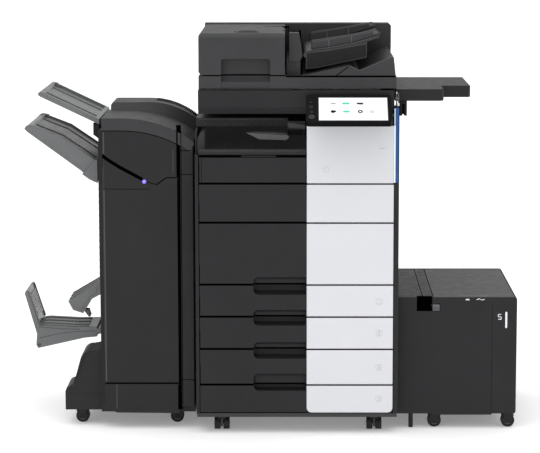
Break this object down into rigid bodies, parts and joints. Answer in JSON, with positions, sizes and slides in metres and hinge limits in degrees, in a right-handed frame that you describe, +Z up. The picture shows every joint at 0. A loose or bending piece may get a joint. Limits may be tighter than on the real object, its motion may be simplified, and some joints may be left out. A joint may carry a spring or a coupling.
{
  "type": "photocopier",
  "caption": "Floor-standing office copier with drawers, document feeder and tilting panel, flanked by a finisher and a paper cabinet.",
  "frame": {"origin": "middle of the footprint box at floor level", "axes": "+X to the machine's right as the user faces it, +Y to the rear, +Z up"},
  "size_m": [1.525, 0.8016, 1.232],
  "materials": {
    "frame_metal": "satin grey paint",
    "dark_cover": "fine-textured dark grey moulding",
    "feeder_cover": "fine-textured grey moulding",
    "inner_black": "matt black moulding",
    "white_cover": "fine-textured white moulding",
    "blue_light": "translucent blue light strip",
    "platen_glass": "polished",
    "pad_white": "soft white backing sheet",
    "toner_grey": "moulded grey",
    "panel_black": "gloss black",
    "screen_face": "lit display",
    "key_grey": "satin",
    "wheel_rubber": "matt",
    "smoke_tray": "smoke-grey translucent moulding",
    "lever_grey": "satin grey"
  },
  "bodies": {
    "main_unit": {"chassis_frame": "frame_metal", "left_cover": "dark_cover", "right_cover": "dark_cover", "rear_cover": "dark_cover", "output_tray": "inner_black", "exit_housing": "dark_cover", "relay_unit": "inner_black", "upper_front_cover": "dark_cover", "white_upper_cover": "white_cover", "side_light": "blue_light", "scanner_housing": "dark_cover", "platen_glass": "platen_glass", "work_table": "dark_cover", "card_reader": "inner_black", "toner_bottles": "toner_grey", "imaging_units": "inner_black", "levelling_feet": "frame_metal"},
    "carriage": {"scan_carriage": "inner_black"},
    "panel": {"control_panel": "panel_black", "touch_screen": "screen_face"},
    "home_key": {"home_key": "key_grey"},
    "feeder": {"adf_base": "feeder_cover", "platen_pad": "pad_white"},
    "feed_cover": {"adf_feed_cover": "feeder_cover"},
    "input_tray": {"adf_input_tray": "feeder_cover"},
    "guide_front": {"adf_guide_front": "feeder_cover"},
    "guide_rear": {"adf_guide_rear": "feeder_cover"},
    "toner_door": {"toner_door": "dark_cover", "toner_door_white": "white_cover"},
    "front_door": {"front_door": "dark_cover", "front_door_white": "white_cover"},
    "right_door": {"right_door": "dark_cover"},
    "bypass": {"bypass_tray": "dark_cover"},
    "drawer_1": {"tray_1": "dark_cover", "tray_1_white": "white_cover"},
    "drawer_2": {"tray_2": "dark_cover", "tray_2_white": "white_cover"},
    "drawer_3": {"tray_3": "dark_cover", "tray_3_white": "white_cover"},
    "drawer_4": {"tray_4": "dark_cover", "tray_4_white": "white_cover"},
    "fork_left": {"caster_fork_left": "frame_metal"},
    "fork_right": {"caster_fork_right": "frame_metal"},
    "front_wheels_left": {"caster_wheels_left": "wheel_rubber"},
    "front_wheels_right": {"caster_wheels_right": "wheel_rubber"},
    "rear_wheels": {"rear_wheels": "wheel_rubber"},
    "finisher": {"finisher_housing": "dark_cover", "finisher_top_cover": "feeder_cover", "finisher_upper_front": "dark_cover", "finisher_upper_tray": "smoke_tray"},
    "finisher_door": {"finisher_front_door": "dark_cover"},
    "main_tray": {"finisher_main_tray": "smoke_tray"},
    "booklet_tray": {"booklet_tray": "smoke_tray"},
    "finisher_wheels_left": {"finisher_wheels_left": "wheel_rubber"},
    "finisher_wheels_right": {"finisher_wheels_right": "wheel_rubber"},
    "cabinet": {"cabinet_housing": "dark_cover"},
    "cabinet_lid": {"cabinet_lid": "feeder_cover"},
    "cabinet_lever": {"cabinet_lever": "lever_grey"},
    "cabinet_wheels_left": {"cabinet_wheels_left": "wheel_rubber"},
    "cabinet_wheels_right": {"cabinet_wheels_right": "wheel_rubber"}
  },
  "joints": [
    {"name": "tray_4_slide", "type": "slide", "parent": "main_unit", "child": "drawer_4", "axis": [0, -1, 0], "range_m": [0, 0.45]},
    {"name": "tray_3_slide", "type": "slide", "parent": "main_unit", "child": "drawer_3", "axis": [0, -1, 0], "range_m": [0, 0.45]},
    {"name": "tray_2_slide", "type": "slide", "parent": "main_unit", "child": "drawer_2", "axis": [0, -1, 0], "range_m": [0, 0.45]},
    {"name": "tray_1_slide", "type": "slide", "parent": "main_unit", "child": "drawer_1", "axis": [0, -1, 0], "range_m": [0, 0.45]},
    {"name": "toner_door_hinge", "type": "hinge", "parent": "main_unit", "child": "toner_door", "pos_m": [0.0855, -0.28123, 0.662], "axis": [1, 0, 0], "range_deg": [0, 90]},
    {"name": "front_door_hinge", "type": "hinge", "parent": "main_unit", "child": "front_door", "pos_m": [0.0855, -0.28123, 0.472], "axis": [1, 0, 0], "range_deg": [0, 90]},
    {"name": "right_door_hinge", "type": "hinge", "parent": "main_unit", "child": "right_door", "pos_m": [0.388, 0.30277, 0.7], "axis": [0, 0, 1], "range_deg": [0, 70]},
    {"name": "bypass_tray_hinge", "type": "hinge", "parent": "right_door", "child": "bypass", "pos_m": [0.3955, 0.04777, 0.488], "axis": [0, 1, 0], "range_deg": [0, 75]},
    {"name": "feeder_hinge", "type": "hinge", "parent": "main_unit", "child": "feeder", "pos_m": [0.0855, 0.29077, 1.066], "axis": [-1, 0, 0], "range_deg": [0, 60]},
    {"name": "feed_cover_hinge", "type": "hinge", "parent": "feeder", "child": "feed_cover", "pos_m": [-0.1945, -0.03723, 1.113], "axis": [0, -1, 0], "range_deg": [0, 75]},
    {"name": "input_tray_hinge", "type": "hinge", "parent": "feeder", "child": "input_tray", "pos_m": [0.1155, -0.00723, 1.156], "axis": [0, -1, 0], "range_deg": [0, 25]},
    {"name": "guide_front_slide", "type": "slide", "parent": "input_tray", "child": "guide_front", "axis": [0, 1, 0], "range_m": [0, 0.09]},
    {"name": "guide_rear_slide", "type": "slide", "parent": "input_tray", "child": "guide_rear", "axis": [0, 1, 0], "range_m": [-0.09, 0]},
    {"name": "carriage_slide", "type": "slide", "parent": "main_unit", "child": "carriage", "axis": [1, 0, 0], "range_m": [0, 0.48]},
    {"name": "panel_tilt", "type": "hinge", "parent": "main_unit", "child": "panel", "pos_m": [0.2395, -0.28523, 1.02], "axis": [1, 0, 0], "range_deg": [-20, 22]},
    {"name": "home_key_press", "type": "slide", "parent": "panel", "child": "home_key", "axis": [0, 0.5519, -0.8339], "range_m": [0, 0.001], "stiffness_N_per_m": 600},
    {"name": "caster_left_swivel", "type": "hinge", "parent": "main_unit", "child": "fork_left", "pos_m": [-0.1445, -0.23223, 0.05], "axis": [0, 0, 1], "continuous": true},
    {"name": "front_wheel_left_spin", "type": "hinge", "parent": "fork_left", "child": "front_wheels_left", "pos_m": [-0.1445, -0.22023, 0.02], "axis": [1, 0, 0], "continuous": true},
    {"name": "caster_right_swivel", "type": "hinge", "parent": "main_unit", "child": "fork_right", "pos_m": [0.3245, -0.23223, 0.05], "axis": [0, 0, 1], "continuous": true},
    {"name": "front_wheel_right_spin", "type": "hinge", "parent": "fork_right", "child": "front_wheels_right", "pos_m": [0.3245, -0.22023, 0.02], "axis": [1, 0, 0], "continuous": true},
    {"name": "rear_wheel_spin", "type": "hinge", "parent": "main_unit", "child": "rear_wheels", "pos_m": [0.0895, 0.33277, 0.02], "axis": [1, 0, 0], "continuous": true},
    {"name": "finisher_dock", "type": "slide", "parent": "main_unit", "child": "finisher", "axis": [-1, 0, 0], "range_m": [0, 0.3]},
    {"name": "finisher_door_hinge", "type": "hinge", "parent": "finisher", "child": "finisher_door", "pos_m": [-0.4965, -0.21623, 0.4], "axis": [0, 0, -1], "range_deg": [0, 100]},
    {"name": "main_tray_lift", "type": "slide", "parent": "finisher", "child": "main_tray", "axis": [0, 0, 1], "range_m": [-0.3, 0]},
    {"name": "booklet_tray_fold", "type": "hinge", "parent": "finisher", "child": "booklet_tray", "pos_m": [-0.5325, -0.02223, 0.283], "axis": [0, 1, 0], "range_deg": [0, 14]},
    {"name": "finisher_wheel_left_spin", "type": "hinge", "parent": "finisher", "child": "finisher_wheels_left", "pos_m": [-0.5835, 0.07477, 0.021], "axis": [0, 1, 0], "continuous": true},
    {"name": "finisher_wheel_right_spin", "type": "hinge", "parent": "finisher", "child": "finisher_wheels_right", "pos_m": [-0.2875, 0.07477, 0.021], "axis": [0, 1, 0], "continuous": true},
    {"name": "cabinet_dock", "type": "slide", "parent": "main_unit", "child": "cabinet", "axis": [1, 0, 0], "range_m": [0, 0.3]},
    {"name": "cabinet_lid_hinge", "type": "hinge", "parent": "cabinet", "child": "cabinet_lid", "pos_m": [0.7505, 0.03277, 0.405], "axis": [0, 1, 0], "range_deg": [0, 85]},
    {"name": "cabinet_lever_pull", "type": "hinge", "parent": "cabinet", "child": "cabinet_lever", "pos_m": [0.5135, -0.21423, 0.387], "axis": [-1, 0, 0], "range_deg": [0, 35]},
    {"name": "cabinet_wheel_left_spin", "type": "hinge", "parent": "cabinet", "child": "cabinet_wheels_left", "pos_m": [0.5125, 0.03877, 0.021], "axis": [0, 1, 0], "continuous": true},
    {"name": "cabinet_wheel_right_spin", "type": "hinge", "parent": "cabinet", "child": "cabinet_wheels_right", "pos_m": [0.7405, 0.03877, 0.021], "axis": [0, 1, 0], "continuous": true}
  ],
  "couplings": [
    {"joint": "guide_rear_slide", "follows": "guide_front_slide", "ratio": -1}
  ]
}
